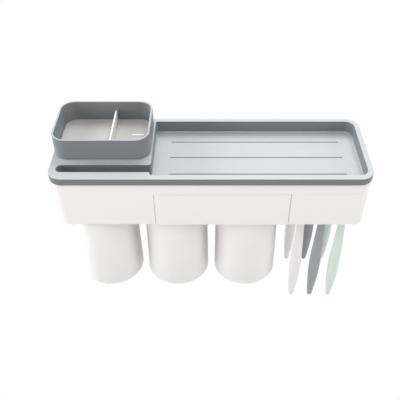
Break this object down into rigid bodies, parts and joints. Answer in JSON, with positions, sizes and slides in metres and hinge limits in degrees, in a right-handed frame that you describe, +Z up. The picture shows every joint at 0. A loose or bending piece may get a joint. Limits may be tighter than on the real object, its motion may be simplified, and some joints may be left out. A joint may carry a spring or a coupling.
{
  "type": "wall-hung toothbrush and cup organiser",
  "caption": "Wall-hung bathroom organiser with a recessed top tray, a small open box, a drawer, a sliding brush bay and cups held upside down by magnets.",
  "frame": {"origin": "middle of the middle adhesive pad's back face, on the wall plane", "axes": "+Z up, +Y into the wall, so the front faces -Y, and +X to the right as seen from the room"},
  "size_m": [0.37, 0.1206, 0.2524],
  "materials": {
    "housing_white": "satin moulded white plastic",
    "insert_white": "satin warm white plastic",
    "tray_grey": "fine matt grey plastic",
    "box_grey": "fine matt grey plastic",
    "cup_white": "satin white plastic",
    "rack_white": "satin white plastic",
    "plate_grey": "plain grey plastic",
    "pad_foam": "foam tape",
    "magnet_steel": "nickel-plated magnet",
    "disc_steel": "thin steel disc",
    "cap_white": "plain white plastic",
    "brush_white": "satin white plastic",
    "brush_grey": "satin grey plastic",
    "brush_green": "satin pale green plastic",
    "bristle_white": "nylon bristle"
  },
  "bodies": {
    "wall_plate": {"wall_plate": "plate_grey", "adhesive_pad_1": "pad_foam", "adhesive_pad_2": "pad_foam", "adhesive_pad_3": "pad_foam"},
    "housing": {"housing": "housing_white", "magnet_1": "magnet_steel", "magnet_2": "magnet_steel", "magnet_3": "magnet_steel", "magnet_cap_1": "cap_white", "magnet_cap_2": "cap_white", "magnet_cap_3": "cap_white"},
    "tray": {"top_tray": "tray_grey"},
    "box": {"storage_box": "box_grey"},
    "insert": {"box_insert": "insert_white"},
    "drawer": {"drawer": "housing_white"},
    "brush_bay": {"brush_cover": "housing_white", "brush_rack": "rack_white"},
    "cup_1": {"cup_1": "cup_white", "cup_disc_1": "disc_steel"},
    "cup_2": {"cup_2": "cup_white", "cup_disc_2": "disc_steel"},
    "cup_3": {"cup_3": "cup_white", "cup_disc_3": "disc_steel"},
    "brush_1": {"brush_handle_1": "brush_white", "brush_bristles_1": "bristle_white"},
    "brush_2": {"brush_handle_2": "brush_grey", "brush_bristles_2": "bristle_white"},
    "brush_3": {"brush_handle_3": "brush_green", "brush_bristles_3": "bristle_white"},
    "brush_4": {"brush_handle_4": "brush_white", "brush_bristles_4": "bristle_white"},
    "brush_5": {"brush_handle_5": "brush_grey", "brush_bristles_5": "bristle_white"},
    "brush_6": {"brush_handle_6": "brush_green", "brush_bristles_6": "bristle_white"}
  },
  "joints": [
    {"name": "housing_lift", "type": "slide", "parent": "wall_plate", "child": "housing", "axis": [0, 0, 1], "range_m": [0, 0.009]},
    {"name": "tray_lift", "type": "slide", "parent": "housing", "child": "tray", "axis": [0, 0, 1], "range_m": [0, 0.03]},
    {"name": "box_lift", "type": "slide", "parent": "tray", "child": "box", "axis": [0, 0, 1], "range_m": [0, 0.035]},
    {"name": "insert_lift", "type": "slide", "parent": "box", "child": "insert", "axis": [0, 0, 1], "range_m": [0, 0.03]},
    {"name": "drawer_slide", "type": "slide", "parent": "housing", "child": "drawer", "axis": [0, -1, 0], "range_m": [0, 0.08]},
    {"name": "bay_slide", "type": "slide", "parent": "housing", "child": "brush_bay", "axis": [0, -1, 0], "range_m": [0, 0.06]},
    {"name": "cup_draw_1", "type": "slide", "parent": "housing", "child": "cup_1", "axis": [0, 0, -1], "range_m": [0, 0.025]},
    {"name": "cup_draw_2", "type": "slide", "parent": "housing", "child": "cup_2", "axis": [0, 0, -1], "range_m": [0, 0.025]},
    {"name": "cup_draw_3", "type": "slide", "parent": "housing", "child": "cup_3", "axis": [0, 0, -1], "range_m": [0, 0.025]},
    {"name": "brush_shift_1", "type": "slide", "parent": "brush_bay", "child": "brush_1", "axis": [0, 1, 0], "range_m": [0, 0.016]},
    {"name": "brush_shift_2", "type": "slide", "parent": "brush_bay", "child": "brush_2", "axis": [0, 1, 0], "range_m": [0, 0.016]},
    {"name": "brush_shift_3", "type": "slide", "parent": "brush_bay", "child": "brush_3", "axis": [0, 1, 0], "range_m": [0, 0.016]},
    {"name": "brush_shift_4", "type": "slide", "parent": "brush_bay", "child": "brush_4", "axis": [0, -1, 0], "range_m": [0, 0.016]},
    {"name": "brush_shift_5", "type": "slide", "parent": "brush_bay", "child": "brush_5", "axis": [0, -1, 0], "range_m": [0, 0.016]},
    {"name": "brush_shift_6", "type": "slide", "parent": "brush_bay", "child": "brush_6", "axis": [0, -1, 0], "range_m": [0, 0.016]}
  ]
}
